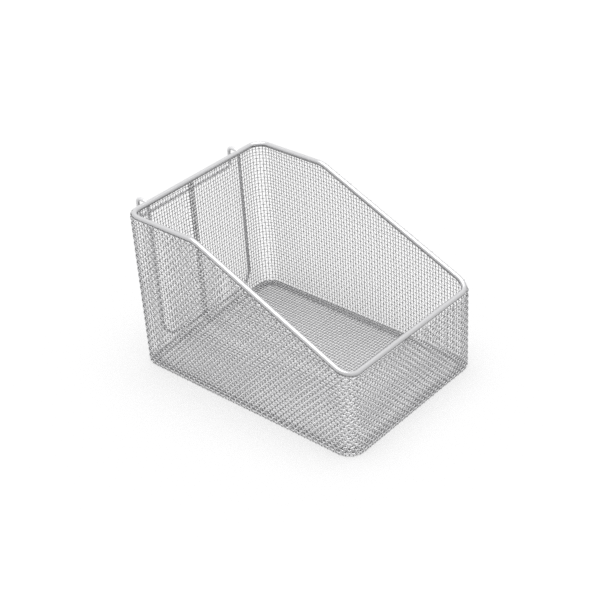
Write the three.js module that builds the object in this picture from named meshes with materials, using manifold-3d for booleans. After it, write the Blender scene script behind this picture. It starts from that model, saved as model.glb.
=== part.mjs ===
// A transport basket of woven stainless wire, with a high back, a low sloping front and a wire hanger.
// Millimetres, +Z up, the low front faces -Y. The origin is the middle of the base, hanger included.

import * as THREE from 'three';
import { mergeVertices } from 'three/addons/utils/BufferGeometryUtils.js';
import Module from 'manifold-3d';

const wasm = await Module();
wasm.setup();

// Rim rod, measured on its centre line
const rimWidth = 199;
const rimLength = 287;
const backHeight = 182.5;
const frontHeight = 96.5;
const levelLength = 93.5;      // level stretch of each side, from the back
const rimBendRadius = 25;      // where each side starts to slope
const cornerRadius = 15;       // the four corners, seen from above
const rodDiameter = 6;

// Woven cloth of the wall and the floor
const wireDiameter = 0.8;
const footRadius = 1;          // inside of the bend at the foot of the wall
const flangeWidth = 12.5;      // lower edge of the wall, turned in under the floor
const lapWidth = 8;            // where the two ends of the wall overlap
const lapCentre = -5.7;        // middle of the lap, along the back
const joggleLength = 3.7;      // sideways step of the inner end, beside the lap

// Openings in the cloth: a coarse grid, as open as the weave that it stands for
const openingPitch = 26;       // about this far apart, and even along each stretch
const barWidth = 5;            // cloth left between openings and along every edge

// Hanger loop, measured on its centre line unless a clear gap is named
const hangerDiameter = 4;
const hangerWidth = 141;
const hangerCentre = 4;        // middle of the hanger, along the back
const hangerFoot = 6;          // lower bar above the base
const hangerCornerRadius = 22; // corners beside the lower bar
const hookBelowRim = 2.5;      // top of the hooks, under the rim rod's centre line
const hookGap = 10.5;          // clear room for a rail
const hookDrop = 22.5;         // free leg, from the hook's top to its bar
const hookBendRadius = 5;

// Room left between pieces that are welded together
const weldGap = 0.3;

// How far a cut runs past both faces of the cloth
const cutRoom = 1;

// Facets
const cornerSteps = 10;
const rimBendSteps = 4;
const footSteps = 4;
const wireBendSteps = 5;
const wireSides = 12;

// Sizes that follow: offsets are outward from the rim rod's centre line, seen from above
const rodRadius = rodDiameter / 2;
const hangerRadius = hangerDiameter / 2;
const clothThickness = 2 * wireDiameter;
const clothInside = rodRadius + weldGap;
const clothOutside = clothInside + clothThickness;
const flangeEdge = clothOutside - flangeWidth;
const halfWidth = rimWidth / 2;
const halfLength = rimLength / 2;
const floorBottom = clothThickness + weldGap;
const floorTop = floorBottom + clothThickness;
const lowestOpening = floorTop + barWidth;
const rimBand = rodRadius + barWidth;
const rowCount = openingCount(frontHeight - rimBand - floorTop);
const rowPitch = (frontHeight - rimBand - floorTop) / rowCount;
const hangerOffset = clothOutside + weldGap + hangerRadius;
const hookReach = hangerDiameter + hookGap;

// Openings along a stretch: how many there are, and the two edges of each
function openingCount(length) {
  return Math.max(1, Math.round(length / openingPitch));
}

function openingEdges(length) {
  const count = openingCount(length);
  const edges = [];
  for (let i = 0; i < count; i++) {
    edges.push([length * i / count + barWidth / 2, length * (i + 1) / count - barWidth / 2]);
  }
  return edges;
}

// Height of the rim rod's centre line at a distance y from the middle: level, a bend, then a slope
const slopeStart = halfLength - levelLength;
const slopeFall = (backHeight - frontHeight) / (slopeStart + halfLength);
const slopeAngle = Math.atan(slopeFall);
const bendTangent = rimBendRadius * Math.tan(Math.abs(slopeAngle) / 2);

function rimHeight(y) {
  const run = slopeStart - y;
  if (run <= -bendTangent) {
    return backHeight;
  }
  if (run >= bendTangent * Math.cos(slopeAngle)) {
    return backHeight - slopeFall * run;
  }
  const sag = rimBendRadius - Math.sqrt(rimBendRadius ** 2 - (run + bendTangent) ** 2);
  return backHeight - Math.sign(slopeFall) * sag;
}

// A station of the rim's plan: a place on the centre line and the outward direction there
function station(x, y, outX, outY) {
  return { x, y, outX, outY, height: rimHeight(y) };
}

// A corner of the plan, or the part of it that leaves an angle free at both ends
function cornerStations(sideX, sideY, startAngle, freeAngle = 0) {
  const centreX = sideX * (halfWidth - cornerRadius);
  const centreY = sideY * (halfLength - cornerRadius);
  const stations = [];
  for (let i = 0; i <= cornerSteps; i++) {
    const angle = startAngle - freeAngle - (i / cornerSteps) * (Math.PI / 2 - 2 * freeAngle);
    const outX = Math.cos(angle);
    const outY = Math.sin(angle);
    stations.push(station(centreX + cornerRadius * outX, centreY + cornerRadius * outY, outX, outY));
  }
  return stations;
}

function sideBendStations(sideX) {
  const stations = [];
  for (let i = 0; i <= rimBendSteps; i++) {
    const angle = Math.abs(slopeAngle) * i / rimBendSteps;
    const y = slopeStart + bendTangent - rimBendRadius * Math.sin(angle);
    stations.push(station(sideX * halfWidth, y, sideX, 0));
  }
  return stations;
}

// The plan from the back, round by the right, the front and the left, and to the back again
const rimStations = [
  ...cornerStations(1, 1, Math.PI / 2),
  ...sideBendStations(1),
  ...cornerStations(1, -1, 0),
  ...cornerStations(-1, -1, -Math.PI / 2),
  ...sideBendStations(-1).reverse(),
  ...cornerStations(-1, 1, Math.PI),
];

function geometryFrom(points, triangles) {
  const geometry = new THREE.BufferGeometry();
  const numbers = points.flatMap((point) => point.toArray());
  geometry.setAttribute('position', new THREE.Float32BufferAttribute(numbers, 3));
  geometry.setIndex(triangles);
  return geometry;
}

// Triangles that join each ring of points to the next one
function joinRings(ringCount, ringSize, closed) {
  const triangles = [];
  const spans = closed ? ringCount : ringCount - 1;
  for (let i = 0; i < spans; i++) {
    const here = i * ringSize;
    const next = ((i + 1) % ringCount) * ringSize;
    for (let j = 0; j < ringSize; j++) {
      const k = (j + 1) % ringSize;
      triangles.push(here + j, here + k, next + k, here + j, next + k, next + j);
    }
  }
  return triangles;
}

// A round wire along a closed path. The paths here are mirrored left to right, so no twist builds up.
function wireLoop(path, radius) {
  const tangents = path.map((point, i) => {
    const before = path[(i + path.length - 1) % path.length];
    const after = path[(i + 1) % path.length];
    const arriving = point.clone().sub(before).normalize();
    return after.clone().sub(point).normalize().add(arriving).normalize();
  });
  const up = new THREE.Vector3(0, 0, 1);
  const normal = up.sub(tangents[0].clone().multiplyScalar(up.dot(tangents[0]))).normalize();
  const turn = new THREE.Quaternion();
  const points = [];
  path.forEach((point, i) => {
    if (i > 0) {
      turn.setFromUnitVectors(tangents[i - 1], tangents[i]);
      normal.applyQuaternion(turn);
    }
    const across = tangents[i].clone().cross(normal);
    for (let j = 0; j < wireSides; j++) {
      const angle = 2 * Math.PI * j / wireSides;
      const arm = normal.clone().multiplyScalar(Math.cos(angle)).addScaledVector(across, Math.sin(angle));
      points.push(point.clone().addScaledVector(arm, radius));
    }
  });
  return geometryFrom(points, joinRings(path.length, wireSides, true));
}

// A closed path through square corners, each rounded with its own radius
function roundedPath(corners) {
  const path = [];
  corners.forEach(({ at, radius }, i) => {
    const arriving = at.clone().sub(corners[(i + corners.length - 1) % corners.length].at).normalize();
    const leaving = corners[(i + 1) % corners.length].at.clone().sub(at).normalize();
    const centre = at.clone().addScaledVector(arriving, -radius).addScaledVector(leaving, radius);
    for (let k = 0; k <= wireBendSteps; k++) {
      const angle = (k / wireBendSteps) * Math.PI / 2;
      const point = centre.clone().addScaledVector(leaving, -radius * Math.cos(angle));
      path.push(point.addScaledVector(arriving, radius * Math.sin(angle)));
    }
  });
  return path;
}

// Rim rod
function rimRod() {
  const path = rimStations.map((s) => new THREE.Vector3(s.x, s.y, s.height));
  return wireLoop(path, rodRadius);
}

// Outline of the wall's cross-section at one station: inner face, bend, flange and outer face
function wallSection(top) {
  const bendCentre = clothInside - footRadius;
  const bendHeight = clothThickness + footRadius;
  const arc = (radius, quarter) => {
    const angle = quarter * Math.PI / 2;
    return [bendCentre + radius * Math.cos(angle), bendHeight - radius * Math.sin(angle)];
  };
  const section = [[clothInside, top]];
  for (let k = 0; k <= footSteps; k++) {
    section.push(arc(footRadius, k / footSteps));
  }
  section.push([flangeEdge, clothThickness], [flangeEdge, 0]);
  for (let k = footSteps; k >= 0; k--) {
    section.push(arc(footRadius + clothThickness, k / footSteps));
  }
  section.push([clothOutside, top]);
  return section;
}

// A solid along a stretch of the plan, with the outline of its section given at each station
function planStrip(stations, sectionAt) {
  const sections = stations.map(sectionAt);
  const points = stations.flatMap((s, i) => sections[i].map(([offset, z]) =>
    new THREE.Vector3(s.x + s.outX * offset, s.y + s.outY * offset, z)));
  const size = sections[0].length;
  const triangles = joinRings(stations.length, size, false);
  const outline = sections[0].map(([offset, z]) => new THREE.Vector2(offset, z));
  const last = (stations.length - 1) * size;
  for (const [a, b, c] of THREE.ShapeUtils.triangulateShape(outline, [])) {
    triangles.push(a, c, b, last + a, last + b, last + c);
  }
  return geometryFrom(points, triangles);
}

// The wall's strip, open at the back between its two ends
function wallStrip(outerEnd, innerEnd) {
  const backStation = (x) => station(x, halfLength, 0, 1);
  const stations = [backStation(outerEnd), ...rimStations, backStation(innerEnd)];
  return planStrip(stations, (s) => wallSection(s.height));
}

// The strip's inner end: it steps inward beside the lap and runs on behind the outer end
function wallTongue(outerEnd, innerEnd) {
  const step = clothThickness + weldGap;
  const inside = halfLength + clothInside;
  const outside = halfLength + clothOutside;
  const stepEnd = outerEnd - weldGap;
  const tip = outerEnd + lapWidth;
  const rooted = innerEnd - lapWidth;
  const bottom = Math.max(floorTop, clothThickness + footRadius) + weldGap;
  const top = backHeight - rodRadius - weldGap;
  const plan = [
    [rooted, outside], [rooted, inside], [innerEnd, inside], [stepEnd, inside - step],
    [tip, inside - step], [tip, outside - step], [stepEnd, outside - step], [innerEnd, outside],
  ];
  const shape = new THREE.Shape(plan.map(([x, y]) => new THREE.Vector2(x, y)));
  const tongue = new THREE.ExtrudeGeometry(shape, { depth: top - bottom, bevelEnabled: false });
  return tongue.translate(0, 0, bottom);
}

function solid(geometry) {
  geometry.deleteAttribute('normal');
  geometry.deleteAttribute('uv');
  const merged = mergeVertices(geometry);
  const vertProperties = new Float32Array(merged.getAttribute('position').array);
  const triVerts = new Uint32Array(merged.getIndex().array);
  return new wasm.Manifold(new wasm.Mesh({ numProp: 3, vertProperties, triVerts }));
}

function geometryOf(body) {
  const mesh = body.getMesh();
  const geometry = new THREE.BufferGeometry();
  geometry.setAttribute('position', new THREE.BufferAttribute(mesh.vertProperties, mesh.numProp));
  geometry.setIndex(new THREE.BufferAttribute(mesh.triVerts, 1));
  return geometry;
}

// The columns of openings round the wall, each as the stations that its openings run along.
// They leave the seam whole, and stand between bars at the ends of each straight stretch.
function openingColumns(seamStart, seamEnd) {
  const straightX = halfWidth - cornerRadius;
  const straightY = halfLength - cornerRadius;
  const halfBarAngle = barWidth / 2 / (cornerRadius + clothOutside);
  const straight = (length, stationAt) =>
    openingEdges(length).map(([from, to]) => [stationAt(from), stationAt(to)]);
  return [
    ...straight(straightX - seamEnd, (along) => station(seamEnd + along, halfLength, 0, 1)),
    cornerStations(1, 1, Math.PI / 2, halfBarAngle),
    ...straight(2 * straightY, (along) => station(halfWidth, straightY - along, 1, 0)),
    cornerStations(1, -1, 0, halfBarAngle),
    ...straight(2 * straightX, (along) => station(straightX - along, -halfLength, 0, -1)),
    cornerStations(-1, -1, -Math.PI / 2, halfBarAngle),
    ...straight(2 * straightY, (along) => station(-halfWidth, along - straightY, -1, 0)),
    cornerStations(-1, 1, Math.PI, halfBarAngle),
    ...straight(seamStart + straightX, (along) => station(along - straightX, halfLength, 0, 1)),
  ];
}

// One opening through the wall, with its top edge held under the rim
function wallOpening(stations, bottom) {
  const inner = clothInside - cutRoom;
  const outer = clothOutside + cutRoom;
  return planStrip(stations, (s) => {
    const top = Math.min(bottom + rowPitch - barWidth, s.height - rimBand);
    return [[inner, top], [inner, bottom], [outer, bottom], [outer, top]];
  });
}

// Wall of woven cloth, one strip with a lapped seam
function wallMesh() {
  const outerEnd = lapCentre - lapWidth / 2;
  const innerEnd = outerEnd - weldGap - joggleLength;
  let wall = solid(wallStrip(outerEnd, innerEnd)).add(solid(wallTongue(outerEnd, innerEnd)));
  for (const stations of openingColumns(innerEnd, outerEnd + lapWidth)) {
    const ceiling = Math.min(...stations.map((s) => s.height)) - rimBand;
    for (let bottom = lowestOpening; bottom + barWidth <= ceiling; bottom += rowPitch) {
      wall = wall.subtract(solid(wallOpening(stations, bottom)));
    }
  }
  return geometryOf(wall);
}

// Openings of the floor, which begin where the wall's flange ends
function floorOpenings() {
  const reachX = halfWidth + flangeEdge;
  const reachY = halfLength + flangeEdge;
  const middle = (floorBottom + floorTop) / 2;
  return openingEdges(2 * reachX).flatMap(([left, right]) => openingEdges(2 * reachY).map(([front, back]) => {
    const opening = new THREE.BoxGeometry(right - left, back - front, clothThickness + 2 * cutRoom);
    return opening.translate((left + right) / 2 - reachX, (front + back) / 2 - reachY, middle);
  }));
}

// Floor panel of woven cloth, laid on the wall's flange inside the bend
function floorMesh() {
  const edge = clothInside - footRadius;
  const radius = cornerRadius + edge;
  const x = halfWidth + edge - radius;
  const y = halfLength + edge - radius;
  const shape = new THREE.Shape();
  shape.absarc(x, y, radius, 0, Math.PI / 2);
  shape.absarc(-x, y, radius, Math.PI / 2, Math.PI);
  shape.absarc(-x, -y, radius, Math.PI, 1.5 * Math.PI);
  shape.absarc(x, -y, radius, 1.5 * Math.PI, 2 * Math.PI);
  const settings = { depth: clothThickness, bevelEnabled: false, curveSegments: cornerSteps };
  const panel = new THREE.ExtrudeGeometry(shape, settings).translate(0, 0, floorBottom);
  return geometryOf(floorOpenings().reduce((body, opening) => body.subtract(solid(opening)), solid(panel)));
}

// Hanger: two uprights on the back of the wall, bent over as hooks, and a bar at each end
function hangerLoop() {
  const left = hangerCentre - hangerWidth / 2;
  const right = hangerCentre + hangerWidth / 2;
  const wall = halfLength + hangerOffset;
  const free = wall + hookReach;
  const top = backHeight - hookBelowRim;
  const bend = Math.min(hookBendRadius, (hookReach - weldGap) / 2, (hookDrop - weldGap) / 2);
  const corner = (x, y, z, radius) => ({ at: new THREE.Vector3(x, y, z), radius });
  return wireLoop(roundedPath([
    corner(right, wall, hangerFoot, hangerCornerRadius),
    corner(right, wall, top, bend),
    corner(right, free, top, bend),
    corner(right, free, top - hookDrop, bend),
    corner(left, free, top - hookDrop, bend),
    corner(left, free, top, bend),
    corner(left, wall, top, bend),
    corner(left, wall, hangerFoot, hangerCornerRadius),
  ]), hangerRadius);
}

function steelPart(name, geometry, colour, roughness) {
  const material = new THREE.MeshStandardMaterial({ color: colour, metalness: 1, roughness });
  const mesh = new THREE.Mesh(geometry, material);
  mesh.name = name;
  return mesh;
}

// The hanger stands out behind the basket, so the basket sits forward of the middle
const basket = new THREE.Group();
basket.position.y = -(weldGap + hangerDiameter + hookReach) / 2;
basket.add(
  steelPart('rim_rod', rimRod(), 0xd9dadb, 0.22),
  steelPart('wall_mesh', wallMesh(), 0xc4c6c8, 0.3),
  steelPart('floor_mesh', floorMesh(), 0xbfc1c3, 0.3),
  steelPart('hanger_loop', hangerLoop(), 0xcfd1d3, 0.25),
);

export default basket;
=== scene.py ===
# %% [markdown]
# # A woven wire transport basket
#
# The object is a welded basket of bright stainless steel. A round rod makes its rim, wire cloth makes
# its wall and floor, and a loop of thicker wire at the back hangs it on a rail. Almost everything that
# the eye reads as "basket" is air between thin wires, so this lesson models every wire of the cloth as
# real geometry. A picture of a weave on a flat sheet would look right from one side only.
#
# The first step loads the part as it was packed: four plain solids in their places. Their boxes give most
# of the sizes that the wires need.

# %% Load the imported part
import math

import bpy
import numpy as np
from mathutils import Matrix, Vector


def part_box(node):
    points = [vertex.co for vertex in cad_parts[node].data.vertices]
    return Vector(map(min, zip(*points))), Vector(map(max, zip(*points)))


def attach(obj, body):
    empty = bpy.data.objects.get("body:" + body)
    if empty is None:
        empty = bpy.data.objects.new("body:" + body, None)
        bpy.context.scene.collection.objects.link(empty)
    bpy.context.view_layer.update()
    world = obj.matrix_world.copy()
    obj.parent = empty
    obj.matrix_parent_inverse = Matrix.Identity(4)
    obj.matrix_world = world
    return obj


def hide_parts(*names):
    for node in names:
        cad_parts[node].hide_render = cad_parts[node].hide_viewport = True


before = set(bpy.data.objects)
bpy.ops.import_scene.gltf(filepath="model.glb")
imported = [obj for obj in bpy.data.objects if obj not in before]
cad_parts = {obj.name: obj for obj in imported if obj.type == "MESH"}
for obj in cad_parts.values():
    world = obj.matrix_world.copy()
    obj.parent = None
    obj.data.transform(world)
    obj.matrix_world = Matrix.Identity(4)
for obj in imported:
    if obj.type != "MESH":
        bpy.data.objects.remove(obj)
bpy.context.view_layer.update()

mm = 0.001
rim_low, rim_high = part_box("rim_rod")
wall_low, wall_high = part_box("wall_mesh")
floor_low, floor_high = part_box("floor_mesh")
hanger_low, hanger_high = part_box("hanger_loop")

# %% [markdown]
# ## The camera
#
# The camera comes first, because every later choice is judged through it. A product photograph like this
# one is taken from about a metre and a half away with a longish lens, which keeps the upright edges almost
# parallel. The angles below place the camera round the point that it aims at: azimuth turns it round the
# basket, elevation lifts it, and a small roll tips the picture.

# %% Place the camera
camera_azimuth = math.radians(-47.23)
camera_elevation = math.radians(32.98)
camera_roll = math.radians(-3.91)
camera_distance = 1.5151        # metres
camera_lens = 85.65             # millimetres of focal length
camera_sensor = 36              # millimetres across
aim = Vector((4.5, -1.35, 73.5)) * mm

backward = Vector((
    math.sin(camera_azimuth) * math.cos(camera_elevation),
    -math.cos(camera_azimuth) * math.cos(camera_elevation),
    math.sin(camera_elevation),
))
level_right = Vector((math.cos(camera_azimuth), math.sin(camera_azimuth), 0))
level_up = backward.cross(level_right)
right = math.cos(camera_roll) * level_right + math.sin(camera_roll) * level_up
up = backward.cross(right)

scene = bpy.context.scene
lens = bpy.data.cameras.new("photo_camera")
lens.sensor_width = camera_sensor
lens.lens = camera_lens
camera = bpy.data.objects.new("photo_camera", lens)
scene.collection.objects.link(camera)
camera.matrix_world = (
    Matrix.Translation(aim + backward * camera_distance)
    @ Matrix((right, up, backward)).transposed().to_4x4()
)
scene.camera = camera
print("camera at, mm:", [round(v / mm) for v in camera.matrix_world.translation])

# %% [markdown]
# ## The plan of the basket
#
# Seen from above, the rim is a rectangle with rounded corners, and the cloth follows it a few millimetres
# further out. One function gives any point of that plan from a distance walked along the cloth, so wires
# can be set out at an even pitch, corners included. The trick is to describe the plan by three plain
# tables that go with the distance: the direction that faces outward, and the X and Y of the corner centre
# that the walker is turning about. On a straight run only the centre moves, and in a corner only the
# direction turns.

# %% Set out the plan
rod_radius = 3 * mm
corner_radius = 15 * mm
wire_radius = 0.4 * mm

rim_half_width = rim_high.x - rod_radius
rim_half_length = (rim_high.y - rim_low.y) / 2 - rod_radius
rim_middle = (rim_high.y + rim_low.y) / 2
cloth_offset = wall_high.x - 2 * wire_radius - rim_half_width

straight_x = 2 * (rim_half_width - corner_radius)
straight_y = 2 * (rim_half_length - corner_radius)
corner_arc = (corner_radius + cloth_offset) * math.pi / 2
centre_x = straight_x / 2
centre_y = straight_y / 2

runs = [straight_x, corner_arc, straight_y, corner_arc] * 2
round_trip = sum(runs)
plan_stops = np.concatenate([[0], np.cumsum(runs + [straight_x])])
plan_turn = np.radians([90, 90, 0, 0, -90, -90, -180, -180, -270, -270])
plan_x = centre_x * np.array([-1, 1, 1, 1, 1, -1, -1, -1, -1, 1])
plan_y = rim_middle + centre_y * np.array([1, 1, 1, -1, -1, -1, -1, 1, 1, 1])


def plan_at(distance, offset):
    """Points of the plan, offset outward from the rim rod's middle, and the outward directions there.
    The distance starts at the left end of the back, runs along the back, and may pass it a second time."""
    turn = np.interp(distance, plan_stops, plan_turn)
    outward = np.stack([np.cos(turn), np.sin(turn)], -1)
    centre = np.stack([np.interp(distance, plan_stops, plan_x), np.interp(distance, plan_stops, plan_y)], -1)
    return centre + outward * (corner_radius + np.asarray(offset))[..., None], outward


print("cloth round the basket, mm:", round(round_trip / mm, 1))

# %% [markdown]
# ## The height of the rim
#
# From the side the rim is level along the high back, bends down and slopes to the low front. Both the rod
# and the cut upper edge of the cloth need that line, so it is one function of the place along the basket.

# %% Set out the rim's height
level_length = 93.5 * mm
rim_bend_radius = 25 * mm

back_height = rim_high.z - rod_radius
front_height = rim_low.z + rod_radius
slope_start = rim_half_length - level_length
slope_fall = (back_height - front_height) / (slope_start + rim_half_length)
slope_angle = math.atan(slope_fall)
bend_tangent = rim_bend_radius * math.tan(slope_angle / 2)


def rim_height(y):
    """Height of the rim rod's middle: level, then a rounded bend, then the slope."""
    run = slope_start - (np.asarray(y) - rim_middle)
    into_bend = np.clip(run + bend_tangent, 0, rim_bend_radius)
    bend = back_height - rim_bend_radius + np.sqrt(rim_bend_radius**2 - into_bend**2)
    slope = back_height - slope_fall * run
    return np.where(run >= bend_tangent * math.cos(slope_angle), slope, bend)


print("rim height at the back, middle and front, mm:",
      [round(float(rim_height(y)) / mm, 1) for y in (rim_high.y, rim_middle, rim_low.y)])

# %% [markdown]
# ## Sweeping a round wire
#
# Every piece of this basket is a round wire bent along a path. Blender's curve bevel can make one, but it
# chooses its own rings and twist, and tens of metres of woven wire want few faces put where they count. So
# a small function sweeps a ring of points along each path. It asks for a direction to call "outward" at
# each point of the path, which keeps the ring from twisting.
#
# Each point also remembers where it sits on its wire, for the materials. Wire is drawn through a die, and
# the faint marks that the die leaves run along it, so `drawn` holds the place on the round section and along
# the wire. Two plainer values say how far the surface faces up and how far it stands out; the materials paint
# light and shade by them.

# %% Sweep rings along a path
def sweep_rings(path, outward, proud, radius, sides, closed):
    """The ring points of one wire. For each: its place on the wire, how far it faces up and stands out."""
    if closed:
        after = np.roll(path, -1, axis=0)
        before = np.roll(path, 1, axis=0)
    else:
        after = np.concatenate([path[1:], path[-1:]])
        before = np.concatenate([path[:1], path[:-1]])
    tangent = after - before
    tangent /= np.linalg.norm(tangent, axis=1)[:, None]
    sideways = np.cross(tangent, outward)
    sideways /= np.linalg.norm(sideways, axis=1)[:, None]
    facing = np.cross(sideways, tangent)
    angle = np.arange(sides) * 2 * math.pi / sides
    arm = facing[:, None] * np.cos(angle)[:, None] + sideways[:, None] * np.sin(angle)[:, None]
    steps = np.linalg.norm(np.diff(path, axis=0), axis=1)
    drawn = np.empty_like(arm)
    drawn[..., 0] = radius * np.cos(angle)
    drawn[..., 1] = radius * np.sin(angle)
    drawn[..., 2] = np.concatenate([[0], np.cumsum(steps)])[:, None]
    stands_out = np.broadcast_to(proud, len(path))[:, None] + drawn[..., 0]
    rings = path[:, None] + radius * arm
    return rings.reshape(-1, 3), drawn.reshape(-1, 3), arm[..., 2].ravel(), stands_out.ravel()


for sides in (6, 16, 24):
    filled = sides / 2 * math.sin(2 * math.pi / sides) / math.pi
    print(f"a wire with {sides} sides fills {filled:.3f} of a round one")

# %% [markdown]
# A mesh in Blender is a list of points and a list of faces that name their corners by number. From each
# ring to the next runs a belt of four-sided faces, and an open wire gets a flat cap on each end.

# %% Join the rings with faces
def sweep_faces(start, rings, sides, closed):
    """Quads from each ring to the next, and a flat cap on each open end."""
    first = np.arange(rings if closed else rings - 1)[:, None]
    side = np.arange(sides)[None, :]
    here = start + first * sides
    there = start + (first + 1) % rings * sides
    quads = np.stack([here + side, here + (side + 1) % sides, there + (side + 1) % sides, there + side], -1)
    faces = quads.reshape(-1, 4).tolist()
    if not closed:
        faces.append([start + k for k in reversed(range(sides))])
        faces.append([start + (rings - 1) * sides + k for k in range(sides)])
    return faces


sample_rings, sample_sides = 10, 6
sample_faces = sweep_faces(0, sample_rings, sample_sides, closed=False)
print(f"an open wire of {sample_rings} rings with {sample_sides} sides has {len(sample_faces)} faces")

# %% [markdown]
# Blender handles one large mesh better than hundreds of small objects, so many wires go into one piece. What
# each point remembers is stored in the mesh as attributes, where a material can read them by name. The marks
# of each wire begin at a place of their own, so that no two wires look alike.

# %% Make one piece of many wires
marks_gap = 0.37                # metres of marks from the start of one wire to the next
plain_values = ("upward", "stands_out")


def wire_piece(name, wires, radius, sides, closed=False):
    """One mesh object from many wires, each given as its path, the outward directions along the path and
    how far the path counts as standing out."""
    swept, faces = [], []
    count = 0
    length = 0
    for number, (path, outward, proud) in enumerate(wires):
        rings, drawn, upward, stands_out = sweep_rings(path, outward, proud, radius, sides, closed)
        length += drawn[-1, 2]
        if closed:
            length += np.linalg.norm(path[0] - path[-1])
        drawn[:, 2] += number * marks_gap
        faces += sweep_faces(count, len(path), sides, closed)
        swept.append((rings, drawn, upward, stands_out))
        count += len(rings)
    points, drawn, upward, stands_out = (np.concatenate(values) for values in zip(*swept))
    mesh = bpy.data.meshes.new(name)
    mesh.from_pydata(points.tolist(), [], faces)
    mesh.shade_smooth()
    places = mesh.attributes.new("drawn", "FLOAT_VECTOR", "POINT")
    places.data.foreach_set("vector", drawn.astype(np.float32).ravel())
    for label, values in zip(plain_values, (upward, stands_out)):
        mesh.attributes.new(label, "FLOAT", "POINT").data.foreach_set("value", values.astype(np.float32))
    piece = bpy.data.objects.new(name, mesh)
    scene.collection.objects.link(piece)
    print(f"{name}: {len(wires)} wires, {length:.2f} m, {len(faces)} faces")
    return piece


print("besides its drawn place, each point remembers:", *plain_values)

# %% [markdown]
# ## The rim rod
#
# The rim is one rod of 6 mm, bent to a closed ring and welded. It is what catches the light, so it gets 24
# sides and a ring every 1.5 mm, which keeps its bends smooth. Its path is the plan with no offset, lifted
# to the rim's height.

# %% Make the rim rod
rod_sides = 24
rod_step = 1.5 * mm

rod_distance = np.linspace(0, round_trip, round(round_trip / rod_step), endpoint=False)
rod_plan, rod_outward = plan_at(rod_distance, 0)
rod_path = np.column_stack([rod_plan, rim_height(rod_plan[:, 1])])
rod_facing = np.column_stack([rod_outward, np.zeros(len(rod_outward))])
rim_ring = wire_piece("rim_ring", [(rod_path, rod_facing, 0)], rod_radius, rod_sides, closed=True)

# %% [markdown]
# ## The cloth of the wall
#
# Wire cloth is woven like linen: each upright wire passes over one level wire and under the next, and its
# neighbour does the opposite. Weaving bends the wires for good, into a run of shallow crimps.
#
# The cloth is one strip that also turns in at its foot, as a flange under the floor. Like the plan, its
# cross-section is three short tables: the direction of the cloth's outer face, and the two places of the
# centre that it turns about.

# %% Set out the wall's section
foot_bend = 1.8 * mm            # middle of the cloth, at the foot of the wall
flange_width = 12.5 * mm        # from the wall's outer face

bend_offset = cloth_offset - foot_bend
bend_height = wall_low.z + 2 * wire_radius + foot_bend
flange_run = bend_offset - (cloth_offset + 2 * wire_radius - flange_width)
bend_run = foot_bend * math.pi / 2
tallest_run = back_height - bend_height
section_stops = np.cumsum([0, flange_run, bend_run, tallest_run])
section_turn = np.radians([-90, -90, 0, 0])
section_offset = bend_offset + np.array([-flange_run, 0, 0, 0])
section_height = bend_height + np.array([0, 0, 0, tallest_run])
wall_start = flange_run + bend_run


def wall_at(distance, climb, proud):
    """Points of the wall cloth and its outward directions. The distance runs round the basket, the climb
    runs from the flange's cut edge up the wall, and proud is how far a point stands out of the cloth."""
    distance, climb, proud = np.broadcast_arrays(distance, climb, proud)
    turn = np.interp(climb, section_stops, section_turn)
    offset = np.interp(climb, section_stops, section_offset) + np.cos(turn) * (foot_bend + proud)
    height = np.interp(climb, section_stops, section_height) + np.sin(turn) * (foot_bend + proud)
    plan, outward = plan_at(distance, offset)
    facing = np.column_stack([outward * np.cos(turn)[:, None], np.sin(turn)])
    return np.column_stack([plan, height]), facing


print("flange, bend and back wall, mm:", [round(v / mm, 1) for v in np.diff(section_stops)])

# %% [markdown]
# The strip's two ends lap at the back. It starts at the lap's outer end, goes once round the basket, steps
# inward by its own thickness beside the lap and ends behind its own beginning. That inner end is the woven
# edge of the roll, where the loom sets the upright wires close together, so the seam shows as a dark stripe.
# Its places are counted along the back, from the middle.

# %% Set out the seam
seam_outer_end = -9.7 * mm
seam_step_start = -13.7 * mm
seam_step_end = -10.0 * mm
seam_tip = -1.7 * mm
seam_step = 1.9 * mm
seam_foot = 3.8 * mm            # the inner end stands clear of the floor
rod_gap = 0.3 * mm              # and of the rod

strip_start = centre_x + seam_outer_end
strip_end = round_trip + centre_x + seam_tip
step_start = round_trip + centre_x + seam_step_start
step_end = round_trip + centre_x + seam_step_end
seam_head = back_height - rod_radius - rod_gap
seam_climb = np.array([seam_foot, seam_head]) + wall_start - bend_height


def stepped(distance):
    """How far the strip has stepped inward, beside the lap. The step begins and ends softly."""
    share = np.clip((np.asarray(distance) - step_start) / (step_end - step_start), 0, 1)
    return -seam_step * share * share * (3 - 2 * share)


print("strip, mm:", round((strip_end - strip_start) / mm, 1))

# %% [markdown]
# Each wire's place comes from a pitch, 3.75 mm along the strip and 3.95 mm up it. A loom isn't perfect and
# bending shifts the wires a little more. Wires hold each other, so neighbours wander together: a sum of a
# few long waves across the cloth gives that, and each wire adds a small shift of its own. The seeded draw
# makes every run the same. Without this the cloth looks like printed graph paper.

# %% Set out the wires' places
upright_pitch = 3.75 * mm
level_pitch = 3.95 * mm
lap_pitch = 2.2 * mm
first_upright = 1.15 * mm       # from the strip's cut end
first_level = 2.7 * mm          # from the flange's cut edge
wander_sizes = (                # the length of each wave, and how far it moves a wire
    (190 * mm, 0.3 * mm),
    (70 * mm, 0.14 * mm),
    (24 * mm, 0.06 * mm),
)
own_shift = 0.12 * mm
weave_seed = 11

draw = np.random.default_rng(weave_seed)
upright_places = np.arange(strip_start + first_upright, step_end, upright_pitch)
lap_places = np.arange(step_end + wire_radius, strip_end - wire_radius, lap_pitch)
level_places = np.arange(first_level, section_stops[-1], level_pitch)


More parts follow.
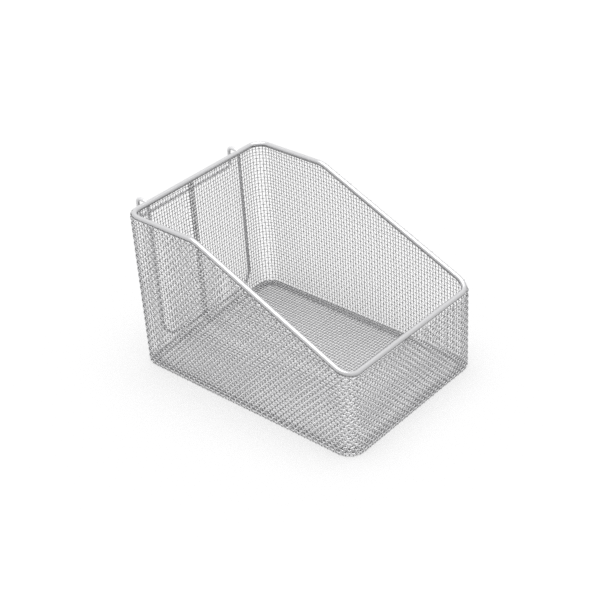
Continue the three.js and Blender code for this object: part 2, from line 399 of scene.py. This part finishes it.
def wander():
    """A function of two places on a cloth that gives how far its wires stray there."""
    waves = [(length, size, *draw.uniform(0, 2 * math.pi, 2)) for length, size in wander_sizes]

    def stray(first, second):
        total = 0
        for length, size, turn, start in waves:
            across = first * math.cos(turn) + second * math.sin(turn)
            total = total + size * np.sin(2 * math.pi * across / length + start)
        return total

    return stray


upright_stray = wander()
level_stray = wander()
print("upright wires:", len(upright_places), "close-set in the lap:", len(lap_places),
      "level wires:", len(level_places))

# %% [markdown]
# A woven wire keeps to one face of the cloth for half of each pitch and crosses to the other face in the
# other half. Two rings for each crossing are enough for that, and they keep the mesh light: this cloth has
# more than ten thousand crossings.

# %% Pass over and under
crimp = wire_radius


def crossings(places, first, last, parity):
    """Points along a wire between two ends, two for each wire that it crosses, and how far they stand out."""
    quarter = (places[1] - places[0]) / 4
    side = np.where((np.arange(len(places)) + parity) % 2 == 0, crimp, -crimp)
    along = np.stack([places - quarter, places + quarter], 1).ravel()
    proud = np.repeat(side, 2)
    inside = (along > first + quarter / 2) & (along < last - quarter / 2)
    along, proud = along[inside], proud[inside]
    along = np.concatenate([[first], along, [last]])
    return along, np.concatenate([proud[:1], proud, proud[-1:]])


print("crossings in a wall without a slope:", len(upright_places) * len(level_places))

# %% [markdown]
# The uprights come first. For the light and shade that the materials paint, an upright is judged from its
# own middle, so that the value only tells its outer side from its inner side. A level wire is judged from the
# middle of the cloth, so its value tells crowns from dips.

# %% Weave the upright wires
own_middle = 0

upright_wires = []
for number, place in enumerate(upright_places):
    spot, _ = plan_at(place, cloth_offset)
    foot = 0
    head = wall_start + float(rim_height(spot[1])) - bend_height
    if place > step_start:
        foot, head = seam_climb
    climb, proud = crossings(level_places, foot, head, number)
    shift = upright_stray(place, climb) + draw.normal(0, own_shift)
    upright_wires.append((*wall_at(place + shift, climb, proud + stepped(place)), own_middle))

lap_climb = np.linspace(*seam_climb, len(level_places))
for place in lap_places:
    upright_wires.append((*wall_at(place, lap_climb, stepped(place) - crimp), own_middle))
tops = [wire[0][-1, 2] for wire in upright_wires]
print("upright wires reach, mm:", round(min(tops) / mm, 1), "to", round(max(tops) / mm, 1))

# %% [markdown]
# A level wire low in the wall runs all the way round. Higher up, the sloping rim cuts it off, and above the
# front it is left as a U round the back. So each wire is laid only where the rim stands above it, which is
# looked up at many fine steps along the strip. The seam cuts the U in two.

# %% Weave the level wires
lap_points = 8
fine_points = 4000

level_wires = []
fine = np.linspace(strip_start, strip_end, fine_points)
fine_step = fine[1] - fine[0]
fine_height = rim_height(plan_at(fine, cloth_offset)[0][:, 1])
for number, climb in enumerate(level_places):
    height = climb - wall_start + bend_height
    own = draw.normal(0, own_shift)
    under = fine[(fine_height > height) & (fine <= step_start)]
    breaks = np.flatnonzero(np.diff(under) > 2 * fine_step)
    starts = under[np.concatenate([[0], breaks + 1])]
    ends = under[np.concatenate([breaks, [len(under) - 1]])]
    for first, last in zip(starts, ends):
        along, proud = crossings(upright_places, first, last, number + 1)
        if last == ends[-1] and height > seam_foot:
            into_lap = np.linspace(step_start, strip_end, lap_points)[1:]
            along = np.concatenate([along, into_lap])
            proud = np.concatenate([proud, np.full(len(into_lap), crimp)])
        shift = level_stray(along, climb) + own
        level_wires.append((*wall_at(along, climb + shift, proud + stepped(along)), proud))
print("level wires, cut ones counted by piece:", len(level_wires))

# %% [markdown]
# Six sides are plenty for a wire that is thinner than a pixel in most pictures. The cloth is stored as four
# meshes, two of uprights and two of level wires, so that none of them grows too heavy.

# %% Make the wall's pieces
wire_sides = 6

left_uprights = wire_piece("wall_uprights_left", [w for w in upright_wires if w[0][0, 0] < 0],
                           wire_radius, wire_sides)
right_uprights = wire_piece("wall_uprights_right", [w for w in upright_wires if w[0][0, 0] >= 0],
                            wire_radius, wire_sides)
low_levels = wire_piece("wall_levels_low", [w for w in level_wires if w[0][0, 2] < front_height],
                        wire_radius, wire_sides)
high_levels = wire_piece("wall_levels_high", [w for w in level_wires if w[0][0, 2] >= front_height],
                         wire_radius, wire_sides)

# %% [markdown]
# ## The floor
#
# The floor is a flat panel of the same cloth, cut to the plan with round corners and laid on the flange.
# Each wire is trimmed where the panel's outline ends it. In its round corners that is a chord of a circle.

# %% Set out the floor
floor_height = (floor_low.z + floor_high.z) / 2
floor_half_width = floor_high.x
floor_half_length = (floor_high.y - floor_low.y) / 2
floor_radius = floor_half_width - centre_x
floor_pitch_x = 3.92 * mm
floor_pitch_y = 3.74 * mm
floor_shift_x = 2.2 * mm        # the panel is cut from the roll anywhere
floor_shift_y = 1.0 * mm
edge_room = 0.7 * mm


def places_between(half, pitch, shift):
    """Even places across a panel, clear of both edges."""
    count = math.ceil(half / pitch)
    places = np.arange(-count, count + 1) * pitch + shift
    return places[np.abs(places) < half - edge_room]


def half_chord(place, half_across, half_along):
    """Half the length of a wire that lies this far off the middle of a panel with round corners."""
    into_corner = np.maximum(np.abs(place) - (half_across - floor_radius), 0)
    return half_along - floor_radius + math.sqrt(floor_radius**2 - into_corner**2)


floor_x = places_between(floor_half_width, floor_pitch_x, floor_shift_x)
floor_y = places_between(floor_half_length, floor_pitch_y, floor_shift_y)
print("floor wires along and across:", len(floor_x), len(floor_y))

# %% [markdown]
# Weaving the floor is the same work as weaving the wall, only flat: the same crossings, the same kind of
# stray, and "outward" is up. The long wires run from front to back and the cross wires from side to side.

# %% Weave the floor
def floor_wire(x, y, proud):
    """A wire of the floor from its plan, measured from the middle of the panel."""
    x, y, proud = np.broadcast_arrays(x, y, proud)
    path = np.column_stack([x, y + rim_middle, floor_height + proud])
    return path, np.tile([0.0, 0.0, 1.0], (len(path), 1)), proud


long_stray = wander()
cross_stray = wander()
long_wires, cross_wires = [], []
for number, place in enumerate(floor_x):
    reach = half_chord(place, floor_half_width, floor_half_length)
    along, proud = crossings(floor_y, -reach, reach, number)
    shift = long_stray(place, along) + draw.normal(0, own_shift)
    long_wires.append(floor_wire(place + shift, along, proud))
for number, place in enumerate(floor_y):
    reach = half_chord(place, floor_half_length, floor_half_width)
    along, proud = crossings(floor_x, -reach, reach, number + 1)
    shift = cross_stray(along, place) + draw.normal(0, own_shift)
    cross_wires.append(floor_wire(along, place + shift, proud))
floor_long = wire_piece("floor_long_wires", long_wires, wire_radius, wire_sides)
floor_cross = wire_piece("floor_cross_wires", cross_wires, wire_radius, wire_sides)

# %% [markdown]
# ## The hanger
#
# A single loop of 4 mm wire stands behind the back. Two uprights rise from a bar near the base, bend over
# as hooks and come down again to a bar that joins them. Its path is a list of square corners, and one
# function rounds each of them with a quarter of a circle.

# %% Round the corners of a path
bend_steps = 12


def rounded_path(corners):
    """A closed path through square corners, given as points and radii."""
    path = []
    for here, (point, radius) in enumerate(corners):
        arriving = (point - corners[here - 1][0]).normalized()
        leaving = (corners[(here + 1) % len(corners)][0] - point).normalized()
        centre = point - arriving * radius + leaving * radius
        for angle in np.linspace(0, math.pi / 2, bend_steps + 1):
            path.append(centre - leaving * radius * math.cos(angle) + arriving * radius * math.sin(angle))
    return np.array(path)


print("points in one rounded corner:", bend_steps + 1)

# %% [markdown]
# The loop's outer sizes come from the box of the solid that it replaces. Because it runs along all three
# axes, the ring's "outward" is one slanting direction that none of its runs follows.

# %% Make the hanger
hanger_radius = 2 * mm
hanger_corner = 22 * mm
hook_bend = 5 * mm
hook_drop = 22.5 * mm
hanger_sides = 16
slanting = (0.3, 0.2, 0.1)

left_side = hanger_low.x + hanger_radius
right_side = hanger_high.x - hanger_radius
near = hanger_low.y + hanger_radius
far = hanger_high.y - hanger_radius
lower_bar = hanger_low.z + hanger_radius
hook_top = hanger_high.z - hanger_radius
hook_bar = hook_top - hook_drop
hanger_path = rounded_path([
    (Vector((right_side, near, lower_bar)), hanger_corner),
    (Vector((right_side, near, hook_top)), hook_bend),
    (Vector((right_side, far, hook_top)), hook_bend),
    (Vector((right_side, far, hook_bar)), hook_bend),
    (Vector((left_side, far, hook_bar)), hook_bend),
    (Vector((left_side, far, hook_top)), hook_bend),
    (Vector((left_side, near, hook_top)), hook_bend),
    (Vector((left_side, near, lower_bar)), hanger_corner),
])
hanger_facing = np.tile(slanting, (len(hanger_path), 1))
hanger_wire = wire_piece("hanger_wire", [(hanger_path, hanger_facing, 0)],
                         hanger_radius, hanger_sides, closed=True)

# %% [markdown]
# ## Materials
#
# Stainless wire is a bare metal: all its colour is reflection. The finish is decided by how dark the metal
# is, how rough it is and by the faint marks of drawing, which run along the wire. A noise stretched along
# the `drawn` coordinates gives those marks, and moves both the colour and the roughness a little.

# %% Drawn steel
marks_stretch = (3000, 3000, 60)        # per metre: across the section twice, and along the wire
marks_detail = 3.0
marks_faint, marks_strong = 0.3, 0.7    # the noise values that give the first and the second finish
blue_cast = 0.01                        # this steel is a trace bluer than grey


def stainless(name, dark, bright, smooth, rough):
    """Bare drawn steel, between two greys and two roughnesses, with marks that run along the wire."""
    material = bpy.data.materials.new(name)
    material.use_nodes = True
    nodes = material.node_tree.nodes
    links = material.node_tree.links
    shader = nodes["Principled BSDF"]
    shader.inputs["Metallic"].default_value = 1.0
    place = nodes.new("ShaderNodeAttribute")
    place.attribute_name = "drawn"
    stretch = nodes.new("ShaderNodeVectorMath")
    stretch.operation = "MULTIPLY"
    stretch.inputs[1].default_value = marks_stretch
    marks = nodes.new("ShaderNodeTexNoise")
    marks.inputs["Scale"].default_value = 1.0
    marks.inputs["Detail"].default_value = marks_detail
    colour = nodes.new("ShaderNodeValToRGB")
    for end, grey, position in ((0, dark, marks_faint), (1, bright, marks_strong)):
        colour.color_ramp.elements[end].position = position
        colour.color_ramp.elements[end].color = (grey, grey, grey + blue_cast, 1)
    roughness = nodes.new("ShaderNodeMapRange")
    roughness.inputs["From Min"].default_value = marks_faint
    roughness.inputs["From Max"].default_value = marks_strong
    roughness.inputs["To Min"].default_value = smooth
    roughness.inputs["To Max"].default_value = rough
    links.new(place.outputs["Vector"], stretch.inputs[0])
    links.new(stretch.outputs["Vector"], marks.inputs["Vector"])
    links.new(marks.outputs["Fac"], colour.inputs["Fac"])
    links.new(marks.outputs["Fac"], roughness.inputs["Value"])
    links.new(colour.outputs["Color"], shader.inputs["Base Color"])
    links.new(roughness.outputs["Result"], shader.inputs["Roughness"])
    print(f"{name}: grey {dark} to {bright}, roughness {smooth} to {rough}")
    return material


print("marks per metre, across the wire and along it:", marks_stretch[0], marks_stretch[2])

# %% [markdown]
# The wires of the wall are bright, and the next step paints light and shade onto them. The floor's steel is
# the roughest, because everything that goes into the basket scuffs it, and its far darker grey is painted
# shade: the same steel as the wall, darkened for the shade on the basket's floor. The rod and the hanger are
# polished after welding.

# %% Choose the steels
upright_steel = stainless("upright_wire_steel", dark=0.86, bright=0.98, smooth=0.24, rough=0.36)
level_steel = stainless("level_wire_steel", dark=0.88, bright=0.97, smooth=0.24, rough=0.36)
# Painted shade: the floor's grey is far below the wall's, for the shade inside the basket; its roughness is
# the scuffing
floor_steel = stainless("scuffed_floor_steel_painted_shade", dark=0.29, bright=0.41, smooth=0.3, rough=0.45)
hanger_steel = stainless("hanger_wire_steel", dark=0.8, bright=0.92, smooth=0.2, rough=0.3)
rim_steel = stainless("polished_rim_steel", dark=0.68, bright=0.76, smooth=0.16, rough=0.26)

# %% [markdown]
# Light and shade aren't even round a wire, and this script paints them into the steel's colour. One helper
# stands for every such painted change: it reads a value that the mesh remembers, turns it into a share by a
# ramp, and multiplies that share into the steel's colour. Because it takes up whatever colour has reached the
# shader so far, a steel can take two such painted changes.

# %% Paint light and shade along a value
def paint_light_along(material, value, stops):
    """Paint light and shade into a steel's colour: multiply it by shares that change along a value of the
    mesh, as (value, share) pairs.
    """
    nodes = material.node_tree.nodes
    links = material.node_tree.links
    colour = nodes["Principled BSDF"].inputs["Base Color"]
    low, high = stops[0][0], stops[-1][0]
    place = nodes.new("ShaderNodeAttribute")
    place.attribute_name = value
    spread = nodes.new("ShaderNodeMapRange")
    spread.inputs["From Min"].default_value = low
    spread.inputs["From Max"].default_value = high
    shares = nodes.new("ShaderNodeValToRGB")
    elements = shares.color_ramp.elements
    ends = {low: elements[0], high: elements[-1]}
    for stop, share in stops:
        element = ends[stop] if stop in ends else elements.new((stop - low) / (high - low))
        element.color = (share, share, share, 1)
    painted_colour = nodes.new("ShaderNodeMix")
    painted_colour.data_type = "RGBA"
    painted_colour.blend_type = "MULTIPLY"
    painted_colour.inputs["Factor"].default_value = 1.0
    links.new(place.outputs["Fac"], spread.inputs["Value"])
    links.new(spread.outputs["Result"], shares.inputs["Fac"])
    links.new(colour.links[0].from_socket, painted_colour.inputs["A"])
    links.new(shares.outputs["Color"], painted_colour.inputs["B"])
    links.new(painted_colour.outputs["Result"], colour)
    print(f"{material.name}: shares along {value}:", [share for _, share in stops])


print("nodes in a steel before its finish:", len(rim_steel.node_tree.nodes))

# %% [markdown]
# This step paints light and shade into the steels' colour. The undersides of the rim and the hanger are
# painted dark, as shade, and their tops light. In the cloth, the crowns of the level wires get a painted
# highlight on both faces, and where such a wire dips behind an upright it gets painted shade, near black. The
# uprights get a painted highlight on their outer side and painted shade inside, and the parts that lean
# downward are painted darker than those that lean up. Together that makes the weave show from afar, as fine
# slanting lines.

# %% Paint light and shade by side
# Shares of a steel's colour, which paint light and shade into it
full = 1.0
rim_painted_underside_shade, hanger_painted_underside_shade = 0.36, 0.55
upright_painted_inside_shade, upright_painted_outside_light, upright_painted_shade_leaning_down = 0.5, 0.95, 0.18
level_painted_crown_inside, level_painted_dip_shade = 0.78, 0.03

# Places along the values: upward from -1 to 1, and standing out in metres
rim_underside, rim_top = -0.5, 1.0
hanger_underside, hanger_top = -0.6, 0.9
leans_down, leans_up = -0.2, 0.2
half_wire = wire_radius / 2
inner_crown, inner_dip, outer_dip, outer_crown = -0.7 * mm, -0.2 * mm, 0.05 * mm, 0.4 * mm

# Painted shade on the undersides of the rim and the hanger, with lighter tops
paint_light_along(rim_steel, "upward", ((rim_underside, rim_painted_underside_shade), (rim_top, full)))
paint_light_along(hanger_steel, "upward", ((hanger_underside, hanger_painted_underside_shade), (hanger_top, full)))
# Painted highlight on the uprights' outer side, and painted shade inside and where they lean down
paint_light_along(upright_steel, "stands_out", ((-half_wire, upright_painted_inside_shade), (half_wire, upright_painted_outside_light)))
paint_light_along(upright_steel, "upward", ((leans_down, upright_painted_shade_leaning_down), (leans_up, full)))
# Painted highlight on the level wires' crowns, and painted shade where they dip behind an upright
paint_light_along(level_steel, "stands_out", ((inner_crown, level_painted_crown_inside), (inner_dip, level_painted_dip_shade),
                                         (outer_dip, level_painted_dip_shade), (outer_crown, full)))

# %% [markdown]
# Each piece now gets its steel, takes over from the plain solid that held its place in the part, and rides
# on the part's one rigid body.

# %% Dress the pieces and seat them on the frame
dressing = [
    (rim_ring, rim_steel, "rim_steel", "rim_rod"),
    (left_uprights, upright_steel, "wall_cloth", "wall_mesh"),
    (right_uprights, upright_steel, "wall_cloth", "wall_mesh"),
    (low_levels, level_steel, "wall_cloth", "wall_mesh"),
    (high_levels, level_steel, "wall_cloth", "wall_mesh"),
    (floor_long, floor_steel, "floor_cloth", "floor_mesh"),
    (floor_cross, floor_steel, "floor_cloth", "floor_mesh"),
    (hanger_wire, hanger_steel, "hanger_steel", "hanger_loop"),
]
for piece, material, slot, node in dressing:
    piece.data.materials.append(material)
    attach(piece, "root")
    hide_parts(node)
    print(f"{piece.name} stands for {node}")

# %% [markdown]
# ## The studio
#
# The basket stands on white paper in a white room. The view transform called Standard shows a brightness of
# 1 as plain white. What the eye sees and what lights the object are two things in Blender, and its Light
# Path node tells them apart.

# %% Tell what is seen from what lights
scene.view_settings.view_transform = "Standard"


def seen_directly(tree):
    """A socket that is 1 for what the camera sees, straight, mirrored or through something, and else 0."""
    rays = tree.nodes.new("ShaderNodeLightPath")
    seen = rays.outputs["Is Camera Ray"]
    for kind in ("Is Glossy Ray", "Is Transmission Ray"):
        either = tree.nodes.new("ShaderNodeMath")
        either.operation = "MAXIMUM"
        tree.links.new(seen, either.inputs[0])
        tree.links.new(rays.outputs[kind], either.inputs[1])
        seen = either.outputs["Value"]
    return seen


print("view transform:", scene.view_settings.view_transform)

# %% [markdown]
# Rays from the camera, and rays that the metal mirrors, see a plain white world, so the steel shows the same
# white that stands behind it. Matt surfaces get half as much light from it.

# %% White world
world_light = 0.5               # what the world adds to matt surfaces

world = bpy.data.worlds.new("white_studio")
scene.world = world
world.use_nodes = True
tree = world.node_tree
background = tree.nodes["Background"]
background.inputs["Color"].default_value = (1, 1, 1, 1)
brightness = tree.nodes.new("ShaderNodeMapRange")
brightness.inputs["To Min"].default_value = world_light
brightness.inputs["To Max"].default_value = 1.0
tree.links.new(seen_directly(tree), brightness.inputs["Value"])
tree.links.new(brightness.outputs["Result"], background.inputs["Strength"])
print("world: white to the eye, light on matt surfaces", world_light)

# %% [markdown]
# The paper is one large square, so that its edge stays out of every view.

# %% Lay the paper floor
floor_reach = 6.0               # metres, from the basket to the paper's edge

paper_corners = [(-floor_reach, -floor_reach, 0), (floor_reach, -floor_reach, 0),
                 (floor_reach, floor_reach, 0), (-floor_reach, floor_reach, 0)]
paper_mesh = bpy.data.meshes.new("paper_floor")
paper_mesh.from_pydata(paper_corners, [], [(0, 1, 2, 3)])
paper_floor = bpy.data.objects.new("paper_floor", paper_mesh)
scene.collection.objects.link(paper_floor)
print("paper, m across:", 2 * floor_reach)

# %% [markdown]
# The paper is matt and keeps the basket's shadow. Part of its white is a glow that only the eye sees, so
# the paper reaches white without a stronger lamp, and the shadow on it stays as faint as in a bright studio.

# %% White paper
paper_white = 0.54
paper_glow = 0.48

paper = bpy.data.materials.new("white_paper")
paper.use_nodes = True
tree = paper.node_tree
matt = tree.nodes["Principled BSDF"]
matt.inputs["Base Color"].default_value = (paper_white, paper_white, paper_white, 1)
matt.inputs["Roughness"].default_value = 1.0
matt.inputs["Specular IOR Level"].default_value = 0.0
matt.inputs["Emission Color"].default_value = (1, 1, 1, 1)
glow = tree.nodes.new("ShaderNodeMath")
glow.operation = "MULTIPLY"
glow.inputs[1].default_value = paper_glow
tree.links.new(seen_directly(tree), glow.inputs[0])
tree.links.new(glow.outputs["Value"], matt.inputs["Emission Strength"])
paper_mesh.materials.append(paper)
print("paper: grey", paper_white, "and a glow of", paper_glow)

# %% [markdown]
# One wide soft light hangs over the basket. A sun lamp with a large angle stands for it, because a sun falls
# evenly on the whole paper. It comes from straight above, so most of the shadow stays under the basket. The
# last line adds up what reaches the eye from open paper: a trace over 1, so that it comes out white.

# %% One wide soft light
light_strength = 1.57
light_spread = math.radians(56)

light = bpy.data.lights.new("overhead_light", "SUN")
light.energy = light_strength
light.angle = light_spread
overhead_light = bpy.data.objects.new("overhead_light", light)
scene.collection.objects.link(overhead_light)
lit_paper = paper_white * (light_strength / math.pi + world_light) + paper_glow
print("open paper, where 1 is white:", round(lit_paper, 2))

# %% [markdown]
# ## Sharp pixels
#
# A wire of this cloth is less than a pixel wide in the picture. Two habits of the renderer would wash it
# out: the denoiser takes such fine texture for noise, and a wide pixel filter blurs it. The scene is
# evenly lit and needs no denoising, and the filter stays at a pixel and a half.

# %% Keep the wires crisp
filter_pixels = 1.5

scene.cycles.use_denoising = False
scene.cycles.filter_width = filter_pixels
print("pixel filter:", round(scene.cycles.filter_width, 2), "denoising:", scene.cycles.use_denoising)
